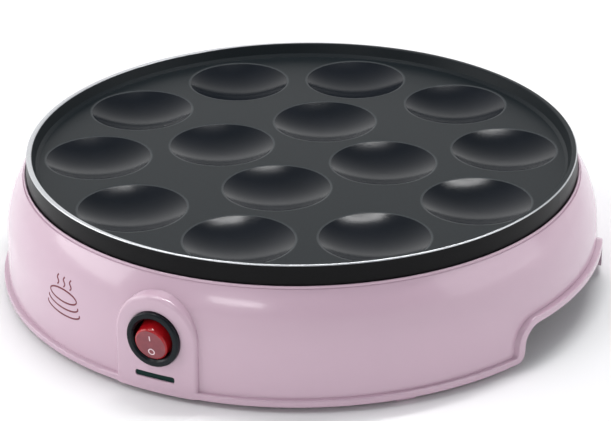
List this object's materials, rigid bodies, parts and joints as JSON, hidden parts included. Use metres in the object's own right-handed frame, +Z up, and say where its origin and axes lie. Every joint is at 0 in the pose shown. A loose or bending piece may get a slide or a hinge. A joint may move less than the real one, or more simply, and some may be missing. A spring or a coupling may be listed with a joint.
{
  "type": "electric griddle",
  "caption": "Round electric mini-pancake griddle: a cast plate of shallow round moulds in a raised rim on a low gloss housing with a rocker switch and side hand grips.",
  "frame": {"origin": "centre of the plane that the feet stand on", "axes": "+Z up, -Y out of the switch at the front, +Y out of the cord inlet at the back"},
  "size_m": [0.2588, 0.2676, 0.058],
  "materials": {
    "plate_coating": "black non-stick coating with a satin sheen on a cast aluminium plate",
    "housing": "smooth gloss pastel pink",
    "insulator": "black heat-resistant ring",
    "element_sheath": "dull heat-tinted sheath",
    "ceramic_seal": "unglazed white",
    "plated_steel": "zinc plated",
    "bright_sheet": "bright rolled sheet",
    "cast_aluminium": "pressed aluminium",
    "bakelite": "dark brown phenolic",
    "brass_tab": "bright",
    "woven_sleeve": "woven glass-fibre sleeve",
    "black_gloss": "polished black",
    "lamp_glass": "clear neon lamp",
    "clear_sleeve": "milky soft sleeve",
    "green_lens": "dark green translucent",
    "black_matte": "fine matte black",
    "cover_plastic": "black, finely textured",
    "foot_rubber": "grey rubber",
    "block_plastic": "natural white nylon",
    "brown_wire": "silicone insulation, brown",
    "blue_wire": "silicone insulation, blue",
    "earth_wire": "green and yellow insulation",
    "white_lead": "white silicone insulation",
    "red_rocker": "red translucent, polished"
  },
  "bodies": {
    "housing": {"griddle_plate": "plate_coating", "base_shell": "housing", "insulating_ring": "insulator", "heating_element": "element_sheath", "element_seals": "ceramic_seal", "element_pins": "plated_steel", "heat_shield": "bright_sheet", "clamp_brackets": "plated_steel", "spring_washers": "plated_steel", "plate_screws": "plated_steel", "thermostat_cap": "cast_aluminium", "thermostat_body": "bakelite", "thermostat_tabs": "brass_tab", "thermostat_screws": "plated_steel", "thermal_fuse": "plated_steel", "fuse_sleeve": "woven_sleeve", "fuse_strap": "plated_steel", "fuse_rivets": "cast_aluminium", "switch_housing": "black_gloss", "switch_terminals": "brass_tab", "rocker_lamp": "lamp_glass", "switch_connectors": "clear_sleeve", "indicator_lens": "green_lens", "indicator_holder": "black_matte", "indicator_lamp": "lamp_glass", "bottom_cover": "cover_plastic", "cover_screws": "plated_steel", "foot_pads": "foot_rubber", "cord_inlet": "black_matte", "terminal_block": "block_plastic", "block_screws": "brass_tab", "wire_live": "brown_wire", "wire_switched": "brown_wire", "wire_heat": "brown_wire", "wire_element": "brown_wire", "wire_neutral": "blue_wire", "wire_lamp": "blue_wire", "wire_earth": "earth_wire", "indicator_leads": "white_lead", "earth_tab": "plated_steel", "earth_screw": "plated_steel", "earth_nut": "plated_steel", "wire_clips": "cover_plastic"},
    "rocker": {"switch_rocker": "red_rocker", "contact_plunger": "brass_tab", "plunger_spring": "plated_steel"},
    "lever": {"contact_lever": "brass_tab"}
  },
  "joints": [
    {"name": "rocker_tilt", "type": "hinge", "parent": "housing", "child": "rocker", "pos_m": [0, -0.12403, 0.02564], "axis": [-1, 0, 0], "range_deg": [0, 24]},
    {"name": "lever_tilt", "type": "hinge", "parent": "housing", "child": "lever", "pos_m": [0, -0.11893, 0.02548], "axis": [-1, 0, 0], "range_deg": [-10, 0]}
  ],
  "couplings": [
    {"joint": "lever_tilt", "follows": "rocker_tilt", "ratio": -0.41667}
  ]
}
